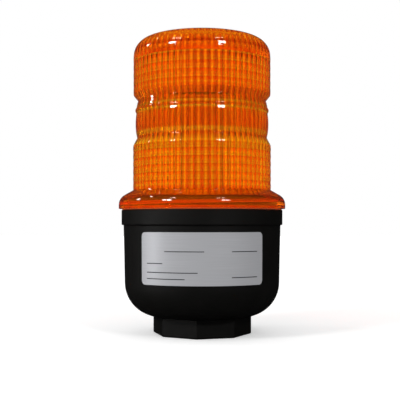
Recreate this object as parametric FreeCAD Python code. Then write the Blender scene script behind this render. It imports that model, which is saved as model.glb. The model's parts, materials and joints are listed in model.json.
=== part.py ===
# LED warning light: an amber lens that screws onto a black housing with an octagonal threaded hub.
# Millimetres, +Z up. The origin is the centre of the hub's mouth, at the part's lowest face,
# and the rating label faces -Y.
import FreeCAD, Part
import math
import os

Vector = FreeCAD.Vector

# Fits
slip = 0.3  # between curved faces that move past each other
screw_play = 0.05  # between a screw's shank and its plain hole
board_play = 0.15  # between a tab, pin or stud and its hole in a board
hole_relief = 2.0  # from the end of a screw to the bottom of its hole

# Threaded hub, bored at the pitch diameter of a 1-inch taper thread
pipe_thread_radius = 15.73
pipe_mouth_chamfer = 1.2
pipe_boss_wall = 4.5
pipe_boss_height = 6.6  # above the floor of the bowl
hub_flats = 46.0
hub_sides = 8
hub_corner_angle = -6.0  # the corner nearest the front, from -Y towards +X
hub_height = 9.0
hub_chamfer = 0.8

# Housing bowl and collar
bowl_radius = 39.6  # under the collar
bowl_draft = 0.6  # how much narrower the wall is at its foot
bowl_height = 45.8  # from the hub to the collar
bowl_corner = 17.0
bowl_wall = 3.6
bowl_floor = 3.4
collar_overhang = 1.0
collar_height = 7.6
collar_chamfer = 0.5

# Threaded neck that carries the lens, inside the ledge for the seal
seal_ledge = 2.6
neck_wall = 2.4
neck_chamfer = 0.6

# Screw posts for the boards
post_angles = (90.0, 210.0, 330.0)
post_inset = 6.6  # from the bowl's mouth
post_radius = 4.0
post_rib = 3.0

# Lens flange
lens_gap = 0.5  # between the lens and the housing, above and below the neck
lens_thread_depth = 0.9
flange_overhang = 1.4
flange_rim = 2.1
flange_brow = 3.5  # from the rim up to the roof of the socket
flange_corner = 5.5
flange_slope = 30.0
flange_shelf = 7.2  # from the rim in to the lower band

# Lens body, from the flange up
low_band_height = 22.5
low_band_rings = 6
low_ring_depth = 0.15
low_shoulder_height = 3.7
low_groove_depth = 2.1
barrel_height = 12.6
barrel_foot_height = 2.2
barrel_foot_inset = 1.6  # from the lower band in
barrel_bulge = 0.4
bead_height = 2.4
bead_rise = 0.6
bead_inset = 1.7  # from the lower band in
cone_height = 3.8
top_groove_depth = 2.6
top_chamfer_height = 2.8
top_band_inset = 0.2  # from the lower band in
top_band_height = 19.6
top_band_rings = 3
top_ring_depth = 0.1
crown_shoulder = 8.8
crown_radius = 125.0

# Lens inside
lens_wall = 2.4  # at the upper groove
crown_wall = 3.0
flute_count = 60
flute_depth = 0.5
flute_runout = 2.0  # from the end of the flutes to the crown

# Lens seal
gasket_width = 1.9
gasket_height = 1.8

# Rating label
label_width = 63.0
label_gap_above = 3.3
label_gap_below = 0.7
label_corner = 2.0
label_thickness = 0.25
label_glue = 0.15

# Boards, standoffs and screws
board_thickness = 1.6
board_headroom = 2.0  # over the tallest part of the driver board
driver_board_drop = 10.4  # from the collar down to the board's seat
driver_board_gap = 2.1  # from the bowl's mouth in to the board's edge
base_board_gap = 1.1
wire_notch_width = 10.0
wire_notch_depth = 5.0
stud_radius = 1.5
stud_length = 9.0
standoff_flats = 5.5
screw_length = 6.0
screw_head_radius = 2.8
screw_head_height = 2.0
screw_head_chamfer = 0.6
drive_radius = 1.2
drive_depth = 1.1

# LED tower
led_faces = 6
column_flats = 12.5
column_core_circle = 4.9
column_core_radius = 0.9
led_board_inset = 0.6  # from the edge of the column's face
led_board_gap = 0.3  # under the cap
led_tab_width = 4.0
led_tab_drop = 2.0
led_rows = 3
led_pitch = 6.5
led_size = 3.5
led_base = 0.8
led_window_radius = 1.5
led_window_height = 0.7
column_above_leds = 4.6  # from the middle of the top LEDs
cap_overhang = 0.6
cap_thickness = 2.8
cap_chamfer = 1.0
tower_screw_radius = 1.95
tower_screw_length = 10.0
tower_head_radius = 3.6
tower_head_height = 2.2

# Link between the driver board and the base board of the tower
link_columns = 3
link_rows = 2
pin_pitch = 2.54
pin_size = 0.64
pin_reach = 5.0  # how far a pin enters the socket
link_socket_height = 8.5
link_header_height = 2.5
link_inset = 11.5  # from the front edge of the driver board

# Parts soldered to the driver board
terminal_inset = 10.5  # from the board's edge beside the wire notch
terminal_y = 3.0
terminal_depth = 8.0
terminal_height = 10.0
terminal_poles = 2
terminal_pitch = 5.08
terminal_screw_radius = 1.9
terminal_screw_height = 1.6
terminal_well_depth = 2.2
terminal_slot = 0.6
terminal_mouth_radius = 1.5
terminal_mouth_height = 3.4
transformer_place = (12.0, 9.0)
transformer_width = 16.0
transformer_depth = 8.0
transformer_height = 11.0
transformer_limb = 2.6
can_place = (12.5, -9.0)
can_radius = 5.0
can_height = 12.0
can_crimp = 2.0
can_crimp_depth = 0.5
film_place = (-8.0, 11.5)
film_size = (13.0, 6.0, 11.0)
varistor_place = (-8.0, 4.0)
varistor_radius = 4.5
varistor_thickness = 4.0
varistor_chamfer = 1.3
varistor_lift = 0.8
fuse_place = (-10.0, -8.0)
fuse_radius = 4.2
fuse_height = 7.7
rectifier_place = (0.0, -11.0)
rectifier_size = (8.5, 6.5, 3.2)
controller_place = (2.0, -4.0)
controller_size = (5.0, 4.0, 1.6)
chip_chamfer = 0.3
resistor_x = -4.0
resistor_inset = 7.5  # from the circle of the screw posts
resistor_radius = 2.0
resistor_length = 9.0
lead_radius = 0.4
lead_spread = 6.0
soft_edge = 0.6

# Radii that follow from the sizes above
bowl_foot_radius = bowl_radius - bowl_draft
collar_radius = bowl_radius + collar_overhang
neck_radius = collar_radius - seal_ledge
mouth_radius = neck_radius - neck_wall
post_circle = mouth_radius - post_inset
driver_board_radius = mouth_radius - driver_board_gap
base_board_radius = mouth_radius - base_board_gap
gasket_inner_radius = neck_radius + slip
gasket_outer_radius = gasket_inner_radius + gasket_width
flange_radius = collar_radius + flange_overhang
slope_radius = flange_radius - flange_corner + flange_corner * math.sin(math.radians(flange_slope))
low_band_radius = flange_radius - flange_shelf
low_groove_radius = low_band_radius - low_groove_depth
barrel_foot_radius = low_band_radius - barrel_foot_inset
bead_groove_radius = low_band_radius - bead_inset
top_groove_radius = low_band_radius - top_groove_depth
top_band_radius = low_band_radius - top_band_inset
lens_inner_radius = top_groove_radius - lens_wall
led_face_radius = column_flats / 2 + board_thickness

# Heights that follow from the sizes above, as levels over the hub's mouth
floor_level = hub_height + bowl_floor
wall_level = hub_height + bowl_corner
pipe_boss_level = floor_level + pipe_boss_height
step_level = hub_height + bowl_height
collar_level = step_level + collar_height
lens_level = collar_level + lens_gap
rim_level = lens_level + flange_rim
roof_level = rim_level + flange_brow
neck_level = roof_level - lens_gap
seal_level = collar_level + gasket_height
slope_level = rim_level + flange_corner * math.cos(math.radians(flange_slope))
low_band_level = slope_level + (slope_radius - low_band_radius) * math.tan(math.radians(flange_slope))
low_shoulder_level = low_band_level + low_band_height
low_groove_level = low_shoulder_level + low_shoulder_height
barrel_level = low_groove_level + barrel_foot_height
bead_level = low_groove_level + barrel_height
cone_level = bead_level + bead_height
top_groove_level = cone_level + cone_height
top_band_level = top_groove_level + top_chamfer_height
crown_level = top_band_level + top_band_height
driver_board_level = step_level - driver_board_drop
driver_top_level = driver_board_level + board_thickness
base_board_level = driver_top_level + can_height + board_headroom
base_top_level = base_board_level + board_thickness
led_level = (low_groove_level + bead_level) / 2
column_top_level = led_level + (led_rows - 1) / 2 * led_pitch + column_above_leds
cap_level = column_top_level + cap_thickness
label_level = wall_level + label_gap_below
label_top_level = step_level - label_gap_above

# Places that follow from the boards
terminal_place = (terminal_inset - driver_board_radius, terminal_y)
link_place = (0.0, link_inset - driver_board_radius)
resistor_place = (resistor_x, post_circle - resistor_inset)


# Shared shapes

def around(centre, radius, start, end):
    """An arc step of an outline: its middle and its end, at angles from +X in the XZ plane."""
    def place(angle):
        turn = math.radians(angle)
        return (centre[0] + radius * math.cos(turn), centre[1] + radius * math.sin(turn))
    return place((start + end) / 2), place(end)


def turned(steps):
    """The solid that a closed outline sweeps about Z: a step is a corner (r, z), or an arc's middle and end."""
    def point(place):
        return Vector(place[0], 0, place[1])
    edges = []
    here = steps[0]
    for step in steps[1:] + steps[:1]:
        if isinstance(step[0], tuple):
            middle, end = step
            edges.append(Part.Arc(point(here), point(middle), point(end)).toShape())
        else:
            end = step
            edges.append(Part.LineSegment(point(here), point(end)).toShape())
        here = end
    return Part.Face(Part.Wire(edges)).revolve(Vector(0, 0, 0), Vector(0, 0, 1), 360)


def rod(radius, bottom, top, place=(0.0, 0.0)):
    """An upright cylinder."""
    return Part.makeCylinder(radius, top - bottom, Vector(place[0], place[1], bottom))


def block(size, place, bottom):
    """An upright box, centred on its place."""
    corner = Vector(place[0] - size[0] / 2, place[1] - size[1] / 2, bottom)
    return Part.makeBox(size[0], size[1], size[2], corner)


def prism(flats, sides, bottom, top, first_corner, place=(0.0, 0.0)):
    """An upright regular prism, by its size across flats and the angle of one corner."""
    radius = flats / 2 / math.cos(math.pi / sides)
    corners = []
    for i in range(sides + 1):
        x, y = on_circle(radius, first_corner + 360 / sides * i)
        corners.append(Vector(place[0] + x, place[1] + y, bottom))
    return Part.Face(Part.makePolygon(corners)).extrude(Vector(0, 0, top - bottom))


def on_circle(radius, angle):
    """X and y on a circle about the Z axis."""
    turn = math.radians(angle)
    return (radius * math.cos(turn), radius * math.sin(turn))


def post_places():
    """X and y of the screw posts, and of all that is screwed to them."""
    return [on_circle(post_circle, angle) for angle in post_angles]


def spun(shape, angle):
    """A copy of a shape, turned about the Z axis."""
    copy = shape.copy()
    copy.rotate(Vector(0, 0, 0), Vector(0, 0, 1), angle)
    return copy


def edges_above(shape, level):
    """The edges that lie wholly above a level."""
    return [edge for edge in shape.Edges if edge.BoundBox.ZMin > level]


def edges_below(shape, level):
    """The edges that lie wholly below a level."""
    return [edge for edge in shape.Edges if edge.BoundBox.ZMax < level]


# Housing

def housing():
    """Moulded bowl with the octagonal threaded hub, the collar, the lens neck and three screw posts."""
    bowl = bowl_body()
    hub = prism(hub_flats, hub_sides, 0, hub_height + bowl_floor / 2, hub_corner_angle - 90)
    hub = hub.makeChamfer(hub_chamfer, edges_below(hub, hub_chamfer))
    pipe_boss = rod(pipe_thread_radius + pipe_boss_wall, hub_height, pipe_boss_level)
    posts = [screw_post(angle).common(bowl) for angle in post_angles]
    body = bowl.cut(bowl_core()).fuse([hub, pipe_boss] + posts)
    cuts = [
        rod(pipe_thread_radius, 0, pipe_boss_level),
        Part.makeCone(pipe_thread_radius + pipe_mouth_chamfer, pipe_thread_radius, pipe_mouth_chamfer),
    ]
    hole_level = driver_board_level - stud_length - hole_relief
    cuts += [rod(stud_radius + screw_play, hole_level, driver_board_level, place) for place in post_places()]
    return body.cut(cuts).removeSplitter()


def bowl_body():
    """The bowl, collar and neck as one turned body, before it is hollowed."""
    corner_at = (bowl_foot_radius - bowl_corner, wall_level)
    return turned([
        (0, hub_height),
        (corner_at[0], hub_height),
        around(corner_at, bowl_corner, -90, 0),
        (bowl_radius, step_level),
        (collar_radius - collar_chamfer, step_level),
        (collar_radius, step_level + collar_chamfer),
        (collar_radius, collar_level - collar_chamfer),
        (collar_radius - collar_chamfer, collar_level),
        (neck_radius, collar_level),
        (neck_radius, neck_level - neck_chamfer),
        (neck_radius - neck_chamfer, neck_level),
        (0, neck_level),
    ])


def bowl_core():
    """The hollow of the bowl, which opens upwards through the neck."""
    corner = bowl_corner - bowl_wall
    foot_radius = bowl_foot_radius - bowl_wall
    corner_at = (foot_radius - corner, floor_level + corner)
    return turned([
        (0, floor_level),
        (corner_at[0], floor_level),
        around(corner_at, corner, -90, 0),
        (mouth_radius, neck_level),
        (0, neck_level),
    ])


def screw_post(angle):
    """One screw post with the rib that ties it to the bowl's wall, reaching into the wall and floor."""
    rib_end = bowl_foot_radius - bowl_wall / 2
    foot = floor_level - bowl_floor / 2
    post = rod(post_radius, foot, driver_board_level, (post_circle, 0))
    rib_middle = ((post_circle + rib_end) / 2, 0)
    rib = block((rib_end - post_circle, post_rib, driver_board_level - foot), rib_middle, foot)
    return spun(post.fuse(rib), angle)


def rating_label():
    """Silver label with round corners, wrapped on the drafted wall of the bowl."""
    def inner_radius(level):
        share = (level - wall_level) / (step_level - wall_level)
        return bowl_foot_radius + share * bowl_draft + label_glue
    inner_foot = inner_radius(label_level)
    inner_top = inner_radius(label_top_level)
    skin = turned([
        (inner_foot, label_level),
        (inner_foot + label_thickness, label_level),
        (inner_top + label_thickness, label_top_level),
        (inner_top, label_top_level),
    ])
    wrap_radius = (inner_foot + inner_top) / 2
    chord = 2 * wrap_radius * math.sin(label_width / 2 / wrap_radius)
    window_size = (chord, 2 * wrap_radius, label_top_level - label_level)
    window = block(window_size, (0, -wrap_radius), label_level)
    corners = [edge for edge in window.Edges if edge.BoundBox.YLength > wrap_radius]
    return skin.common(window.makeFillet(label_corner, corners))


# Lens and its seal

def lens():
    """Amber lens: ring lenses outside, upright flutes inside, and a flange that screws onto the neck."""
    gasket_recess = rod(gasket_outer_radius + slip, lens_level, seal_level)
    socket = rod(neck_radius + lens_thread_depth, lens_level, roof_level)
    return lens_body().cut([gasket_recess, socket, flute_core(), crown_core()])


def lens_body():
    """The outer form of the lens, before it is hollowed."""
    corner_at = (flange_radius - flange_corner, rim_level)
    barrel_middle = (barrel_foot_radius + barrel_bulge, (barrel_level + bead_level) / 2)
    bead_middle = (bead_groove_radius + bead_rise, (bead_level + cone_level) / 2)
    steps = [
        (0, lens_level),
        (flange_radius, lens_level),
        (flange_radius, rim_level),
        around(corner_at, flange_corner, 0, 90 - flange_slope),
        (low_band_radius - low_ring_depth, low_band_level),
    ]
    steps += ring_lenses(low_band_radius, low_ring_depth, low_band_level, low_band_height, low_band_rings)
    steps += [
        (low_groove_radius, low_groove_level),
        (barrel_foot_radius, barrel_level),
        (barrel_middle, (bead_groove_radius, bead_level)),
        (bead_middle, (bead_groove_radius, cone_level)),
        (top_groove_radius, top_groove_level),
        (top_band_radius - top_ring_depth, top_band_level),
    ]
    steps += ring_lenses(top_band_radius, top_ring_depth, top_band_level, top_band_height, top_band_rings)
    steps += crown(top_band_radius - top_ring_depth, crown_shoulder, crown_radius)
    return turned(steps)


def ring_lenses(radius, depth, bottom, height, count):
    """Arc steps of ring lenses, one above the other, with valleys of a depth between them."""
    pitch = height / count
    steps = []
    for i in range(count):
        crest = (radius, bottom + (i + 0.5) * pitch)
        valley = (radius - depth, bottom + (i + 1) * pitch)
        steps.append((crest, valley))
    return steps


def crown(wall_radius, shoulder, dome_radius):
    """Arc steps from the crown's foot to the axis: a round shoulder that runs into a shallow dome."""
    inner = wall_radius - shoulder
    join = math.degrees(math.asin(inner / (dome_radius - shoulder)))
    dome_level = crown_level - (dome_radius - shoulder) * math.cos(math.radians(join))
    return [
        around((inner, crown_level), shoulder, 0, 90 - join),
        around((0, dome_level), dome_radius, 90 - join, 90),
    ]


def flute_core():
    """The core that leaves the upright flutes: a prism whose sides bulge towards the axis."""
    crest_radius = lens_inner_radius - flute_depth
    edges = []
    for i in range(flute_count):
        stations = ((i, lens_inner_radius), (i + 0.5, crest_radius), (i + 1, lens_inner_radius))
        places = [on_circle(radius, 360 / flute_count * step) for step, radius in stations]
        edges.append(Part.Arc(*[Vector(x, y, lens_level) for x, y in places]).toShape())
    top = crown_level - flute_runout
    return Part.Face(Part.Wire(edges)).extrude(Vector(0, 0, top - lens_level))


def crown_core():
    """The hollow above the flutes, a step narrower than their crests."""
    radius = lens_inner_radius - 2 * flute_depth
    bottom = crown_level - 2 * flute_runout
    steps = [(0, bottom), (radius, bottom), (radius, crown_level)]
    return turned(steps + crown(radius, crown_shoulder - crown_wall, crown_radius - crown_wall))


def lens_gasket():
    """Square silicone ring between the collar and the lens flange."""
    ring = rod(gasket_outer_radius, collar_level, seal_level)
    return ring.cut(rod(gasket_inner_radius, collar_level, seal_level))


# Boards and what holds them

def driver_board():
    """Round driver board with a notch where the supply wires come up from the hub."""
    notch_size = (2 * wire_notch_depth, wire_notch_width, board_thickness)
    notch = block(notch_size, (-driver_board_radius, terminal_y), driver_board_level)
    holes = [rod(stud_radius + board_play, driver_board_level, driver_top_level, place)
             for place in post_places()]
    return rod(driver_board_radius, driver_board_level, driver_top_level).cut(holes + [notch])


def standoffs():
    """Three hex standoffs: a stud through the driver board into each post, and a tapped hole on top."""
    hole_level = base_board_level - screw_length - hole_relief
    made = []
    for angle, place in zip(post_angles, post_places()):
        body = prism(standoff_flats, 6, driver_top_level, base_board_level, angle, place)
        stud = rod(stud_radius, driver_board_level - stud_length, driver_top_level, place)
        made.append(body.fuse(stud).cut(rod(stud_radius, hole_level, base_board_level, place)))
    return Part.makeCompound(made)


def led_base_board():
    """Base board of the LED tower, with a slot for each LED board's tab."""
    slot_size = (board_thickness + 2 * board_play, led_tab_width + 2 * board_play, board_thickness)
    slot = block(slot_size, (led_face_radius - board_thickness / 2, 0), base_board_level)
    cuts = [spun(slot, angle) for angle in led_angles()]
    cuts.append(rod(tower_screw_radius + screw_play, base_board_level, base_top_level))
    cuts += [rod(stud_radius + board_play, base_board_level, base_top_level, place) for place in post_places()]
    return rod(base_board_radius, base_board_level, base_top_level).cut(cuts)


def base_board_screws():
    """Three pan-head screws that hold the base board on the standoffs."""
    top = base_top_level + screw_head_height
    made = []
    for place in post_places():
        head = rod(screw_head_radius, base_top_level, top, place)
        head = head.makeChamfer(screw_head_chamfer, edges_above(head, base_top_level + screw_head_height / 2))
        shank = rod(stud_radius - screw_play, base_board_level - screw_length, base_top_level, place)
        made.append(head.fuse(shank).cut(drive_recess(top, place)))
    return Part.makeCompound(made)


def drive_recess(top, place=(0.0, 0.0)):
    """The driver's recess in a screw's head."""
    bottom = Vector(place[0], place[1], top - drive_depth)
    return Part.makeCone(drive_radius / 2, drive_radius, drive_depth, bottom)


# LED tower

def led_angles():
    """The direction that each LED board faces: the first faces the front."""
    return [-90 + 360 / led_faces * i for i in range(led_faces)]


def column_corner():
    """The angle of one corner of the column."""
    return led_angles()[0] + 180 / led_faces


def heat_sink_column():
    """Hexagonal aluminium extrusion with a screw channel and a cored hole behind each corner."""
    column = prism(column_flats, led_faces, base_top_level, column_top_level, column_corner())
    cuts = [rod(tower_screw_radius + screw_play, base_top_level, column_top_level)]
    for i in range(led_faces):
        place = on_circle(column_core_circle, column_corner() + 360 / led_faces * i)
        cuts.append(rod(column_core_radius, base_top_level, column_top_level, place))
    return column.cut(cuts)


def led_board():
    """One LED board on a face of the column towards +X, with the tab that goes into the base board."""
    width = column_flats * math.tan(math.pi / led_faces) - 2 * led_board_inset
    height = column_top_level - led_board_gap - base_top_level
    middle = (led_face_radius - board_thickness / 2, 0)
    board = block((board_thickness, width, height), middle, base_top_level)
    tab = block((board_thickness, led_tab_width, led_tab_drop), middle, base_top_level - led_tab_drop)
    return board.fuse(tab).removeSplitter()


def led_row():
    """The LEDs of a board towards +X, level with the lens's barrel: a square base with a round window."""
    made = []
    for i in range(led_rows):
        level = led_level + (i - (led_rows - 1) / 2) * led_pitch
        base = block((led_base, led_size, led_size), (led_face_radius + led_base / 2, 0), level - led_size / 2)
        middle = Vector(led_face_radius + led_base, 0, level)
        window = Part.makeCylinder(led_window_radius, led_window_height, middle, Vector(1, 0, 0))
        made.append(base.fuse(window))
    return Part.makeCompound(made)


def tower_cap():
    """Hexagonal cap over the ends of the LED boards, countersunk for its screw."""
    flats = 2 * led_face_radius + 2 * cap_overhang
    cap = prism(flats, led_faces, column_top_level, cap_level, column_corner())
    cap = cap.makeChamfer(cap_chamfer, edges_above(cap, column_top_level + cap_thickness / 2))
    hole_radius = tower_screw_radius + screw_play
    hole = rod(hole_radius, column_top_level, cap_level)
    sink_foot = Vector(0, 0, cap_level - tower_head_height)
    sink = Part.makeCone(hole_radius, tower_head_radius + screw_play, tower_head_height, sink_foot)
    return cap.cut([hole, sink])


def cap_screw():
    """Countersunk screw through the cap into the column's channel."""
    head_foot = cap_level - tower_head_height
    head = Part.makeCone(tower_screw_radius, tower_head_radius, tower_head_height, Vector(0, 0, head_foot))
    shank = rod(tower_screw_radius, cap_level - tower_screw_length, head_foot)
    return head.fuse(shank).cut(drive_recess(cap_level))


def column_screw():
    """Pan-head screw from under the base board up into the column's channel."""
    head = rod(tower_head_radius, base_board_level - tower_head_height, base_board_level)
    head = head.makeChamfer(screw_head_chamfer, edges_below(head, base_board_level - tower_head_height / 2))
    shank = rod(tower_screw_radius, base_board_level, base_board_level + tower_screw_length)
    return head.fuse(shank).removeSplitter()


# Link between the two boards

def link_body(bottom, height):
    """The moulded block of one half of the link."""
    return block((link_columns * pin_pitch, link_rows * pin_pitch, height), link_place, bottom)


def link_pins(side, bottom, top):
    """The square pins of the link, or the holes for them."""
    pins = []
    for i in range(link_columns):
        for j in range(link_rows):
            x = link_place[0] + (i - (link_columns - 1) / 2) * pin_pitch
            y = link_place[1] + (j - (link_rows - 1) / 2) * pin_pitch
            pins.append(block((side, side, top - bottom), (x, y), bottom))
    return pins


def link_socket():
    """Socket strip on the driver board."""
    top = driver_top_level + link_socket_height
    holes = link_pins(pin_size + 2 * board_play, top - pin_reach - board_play, top)
    return link_body(driver_top_level, link_socket_height).cut(holes)


def link_header():
    """Pin strip under the base board, with its pins in the socket."""
    bottom = base_board_level - link_header_height
    pins = link_pins(pin_size, driver_top_level + link_socket_height - pin_reach, bottom)
    return link_body(bottom, link_header_height).fuse(pins).removeSplitter()


# Parts soldered to the driver board

def terminal_poles_y():
    """Y of each pole of the terminal block."""
    return [terminal_y + (i - (terminal_poles - 1) / 2) * terminal_pitch for i in range(terminal_poles)]


def terminal_block():
    """Screw terminal for the supply wires: a wire mouth and a screw well for each pole."""
    x = terminal_place[0]
    top = driver_top_level + terminal_height
    size = (terminal_depth, terminal_poles * terminal_pitch, terminal_height)
    cuts = []
    for y in terminal_poles_y():
        cuts.append(rod(terminal_screw_radius + board_play, top - terminal_well_depth, top, (x, y)))
        mouth = Vector(x - terminal_depth / 2, y, driver_top_level + terminal_mouth_height)
        cuts.append(Part.makeCylinder(terminal_mouth_radius, terminal_depth / 2, mouth, Vector(1, 0, 0)))
    return block(size, terminal_place, driver_top_level).cut(cuts)


def terminal_screws():
    """The slotted clamp screws in the wells of the terminal block."""
    bottom = driver_top_level + terminal_height - terminal_well_depth
    top = bottom + terminal_screw_height
    slot_size = (2 * terminal_screw_radius, terminal_slot, terminal_screw_height)
    made = []
    for y in terminal_poles_y():
        place = (terminal_place[0], y)
        slot = block(slot_size, place, top - terminal_screw_height / 2)
        made.append(rod(terminal_screw_radius, bottom, top, place).cut(slot))
    return Part.makeCompound(made)


def transformer_core():
    """Ferrite core of the transformer: a frame with a middle limb twice as wide as the outer ones."""
    frame_size = (transformer_width, transformer_depth, transformer_height)
    window_height = transformer_height - 2 * transformer_limb
    window_size = (transformer_width - 2 * transformer_limb, transformer_depth, window_height)
    limb_size = (2 * transformer_limb, transformer_depth, window_height)
    level = driver_top_level + transformer_limb
    window = block(window_size, transformer_place, level).cut(block(limb_size, transformer_place, level))
    return block(frame_size, transformer_place, driver_top_level).cut(window)


def transformer_winding():
    """Taped winding that fills the core's windows and goes round the middle limb."""
    level = driver_top_level + transformer_limb
    height = transformer_height - 2 * transformer_limb
    inside_width = 2 * transformer_limb + 2 * board_play
    outside_width = transformer_width - 2 * transformer_limb - 2 * board_play
    inside = block((inside_width, transformer_depth, height), transformer_place, level)
    depth = transformer_depth + outside_width - inside_width
    coil = block((outside_width, depth, height), transformer_place, level)
    upright = [edge for edge in coil.Edges if edge.BoundBox.ZLength > height / 2]
    return coil.makeFillet(soft_edge, upright).cut(inside)


def smoothing_capacitor():
    """Upright electrolytic can with a crimped neck."""
    crimp_level = driver_top_level + can_crimp
    top = driver_top_level + can_height
    can = turned([
        (0, driver_top_level),
        (can_radius, driver_top_level),
        (can_radius, crimp_level - can_crimp_depth),
        (can_radius - can_crimp_depth, crimp_level),
        (can_radius, crimp_level + can_crimp_depth),
        (can_radius, top - soft_edge),
        (can_radius - soft_edge, top),
        (0, top),
    ])
    can.translate(Vector(can_place[0], can_place[1], 0))
    return can


def fuse():
    """Round radial fuse."""
    can = rod(fuse_radius, driver_top_level, driver_top_level + fuse_height, fuse_place)
    return can.makeChamfer(soft_edge, edges_above(can, driver_top_level + fuse_height / 2))


def film_capacitor():
    """Boxed safety capacitor."""
    box = block(film_size, film_place, driver_top_level)
    return box.makeChamfer(soft_edge, edges_above(box, driver_top_level + film_size[2] / 2))


def varistor():
    """Dipped disc that stands on its two leads."""
    x, y = varistor_place
    level = driver_top_level + varistor_lift + varistor_radius
    back = Vector(x, y - varistor_thickness / 2, level)
    disc = Part.makeCylinder(varistor_radius, varistor_thickness, back, Vector(0, 1, 0))
    rims = [edge for edge in disc.Edges if edge.BoundBox.YLength < varistor_thickness / 2]
    disc = disc.makeChamfer(varistor_chamfer, rims)
    leads = [rod(lead_radius, driver_top_level, level, (x + side * lead_spread / 2, y)) for side in (-1, 1)]
    return disc.fuse(leads)


def chip(size, place):
    """A moulded chip with a chamfered top."""
    body = block(size, place, driver_top_level)
    return body.makeChamfer(chip_chamfer, edges_above(body, driver_top_level + size[2] / 2))


def bridge_rectifier():
    """Moulded mains rectifier."""
    return chip(rectifier_size, rectifier_place)


def flash_controller():
    """The chip that times the flashes."""
    return chip(controller_size, controller_place)


def inrush_resistor():
    """Axial resistor lying on the board, with its bent leads."""
    x, y = resistor_place
    level = driver_top_level + resistor_radius
    end = Vector(x - resistor_length / 2, y, level)
    body = Part.makeCylinder(resistor_radius, resistor_length, end, Vector(1, 0, 0))
    rims = [edge for edge in body.Edges if edge.BoundBox.XLength < resistor_length / 2]
    body = body.makeChamfer(soft_edge, rims)
    reach = resistor_length / 2 + 2 * lead_radius
    leads = []
    for side in (-1, 1):
        leads.append(Part.makeCylinder(lead_radius, reach, Vector(x, y, level), Vector(side, 0, 0)))
        leads.append(rod(lead_radius, driver_top_level, level + lead_radius, (x + side * reach, y)))
    return body.fuse(leads)


# Assembly

def assembly():
    """Every piece by its name."""
    single = (
        housing, rating_label, lens, lens_gasket,
        driver_board, standoffs, led_base_board, base_board_screws,
        heat_sink_column, tower_cap, cap_screw, column_screw,
        link_socket, link_header, terminal_block, terminal_screws,
        transformer_core, transformer_winding, smoothing_capacitor, film_capacitor,
        varistor, fuse, bridge_rectifier, flash_controller, inrush_resistor,
    )
    made = {piece.__name__: piece() for piece in single}
    for number, angle in enumerate(led_angles(), start=1):
        made[f"led_board_{number}"] = spun(led_board(), angle)
        made[f"led_row_{number}"] = spun(led_row(), angle)
    return made


os.makedirs("parts", exist_ok=True)
for name, shape in assembly().items():
    shape.exportStep(f"parts/{name}.step")
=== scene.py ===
import json
import math

import bmesh
import bpy
from mathutils import Matrix, Vector


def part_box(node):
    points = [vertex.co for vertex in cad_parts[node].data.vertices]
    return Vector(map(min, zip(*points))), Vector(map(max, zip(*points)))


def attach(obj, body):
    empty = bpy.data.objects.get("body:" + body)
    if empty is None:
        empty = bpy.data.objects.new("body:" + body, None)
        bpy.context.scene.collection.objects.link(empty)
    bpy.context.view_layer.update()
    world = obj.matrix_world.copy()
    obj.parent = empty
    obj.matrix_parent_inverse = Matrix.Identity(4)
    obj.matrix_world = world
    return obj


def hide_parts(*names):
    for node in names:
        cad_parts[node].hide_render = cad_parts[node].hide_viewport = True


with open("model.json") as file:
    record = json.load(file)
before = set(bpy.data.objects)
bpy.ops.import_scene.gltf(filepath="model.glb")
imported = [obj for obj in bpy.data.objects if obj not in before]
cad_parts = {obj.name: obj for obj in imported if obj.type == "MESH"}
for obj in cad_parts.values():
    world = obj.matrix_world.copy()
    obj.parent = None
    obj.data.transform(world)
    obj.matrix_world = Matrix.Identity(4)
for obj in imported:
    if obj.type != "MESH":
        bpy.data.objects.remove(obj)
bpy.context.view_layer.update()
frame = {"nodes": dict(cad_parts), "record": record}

# Housing: one black polycarbonate moulding with an octagonal threaded hub, a bowl, a collar and a neck. It
# leaves a spark-eroded mould, so its skin has a fine dull grain and its edges have the mould's small radius.
# It screws down by its hub and carries everything else.
mm = 0.001
scene = bpy.context.scene
housing_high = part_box("housing")[1]
collar_radius = housing_high.x
neck_level = housing_high.z
bowl_radius = collar_radius - 1.0 * mm
bowl_foot_radius = bowl_radius - 0.6 * mm
neck_radius = collar_radius - 2.6 * mm
mouth_radius = neck_radius - 2.4 * mm
hub_sides = 8
hub_flats = 46.0 * mm
hub_inner = hub_flats / 2
hub_reach = hub_inner / math.cos(math.pi / hub_sides) - hub_inner
hub_root = 0.4 * mm
hub_height = 9.0 * mm
hub_corner_angle = math.radians(-96.0)
bowl_corner = 17.0 * mm
bowl_wall = 3.6 * mm
floor_level = hub_height + 3.4 * mm
step_level = hub_height + 45.8 * mm
collar_level = step_level + 7.6 * mm
pipe_radius = 15.73 * mm
pipe_boss_radius = pipe_radius + 4.5 * mm
pipe_boss_level = floor_level + 6.6 * mm
pipe_lead_in = 1.2 * mm
mould_round = 0.5 * mm
lead_in_round = 0.15 * mm
hub_round = 0.9 * mm
step_round = 0.4 * mm
ledge_round = 0.2 * mm
housing_columns = 241
arc_step = math.radians(12)
crisp_angle = math.radians(25)
weld = 0.002 * mm
least_ripple = 0.01 * mm
noise_span = (0.3, 0.7)
mottle_grains = 25
gloss_spread = 0.06


def linear(code):
    """A colour's sRGB hex code as linear RGBA."""
    parts = [int(code[i:i + 2], 16) / 255 for i in (1, 3, 5)]
    return [c / 12.92 if c <= 0.04045 else ((c + 0.055) / 1.055) ** 2.4 for c in parts] + [1.0]


def add(tree, kind, sockets=(), **settings):
    """Add a node with its settings; a socket's entry is a value, or the output that feeds it."""
    node = tree.nodes.new(kind)
    for name, value in settings.items():
        setattr(node, name, value)
    for name, value in dict(sockets).items():
        if isinstance(value, bpy.types.NodeSocket):
            tree.links.new(value, node.inputs[name])
        else:
            node.inputs[name].default_value = value
    return node


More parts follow.
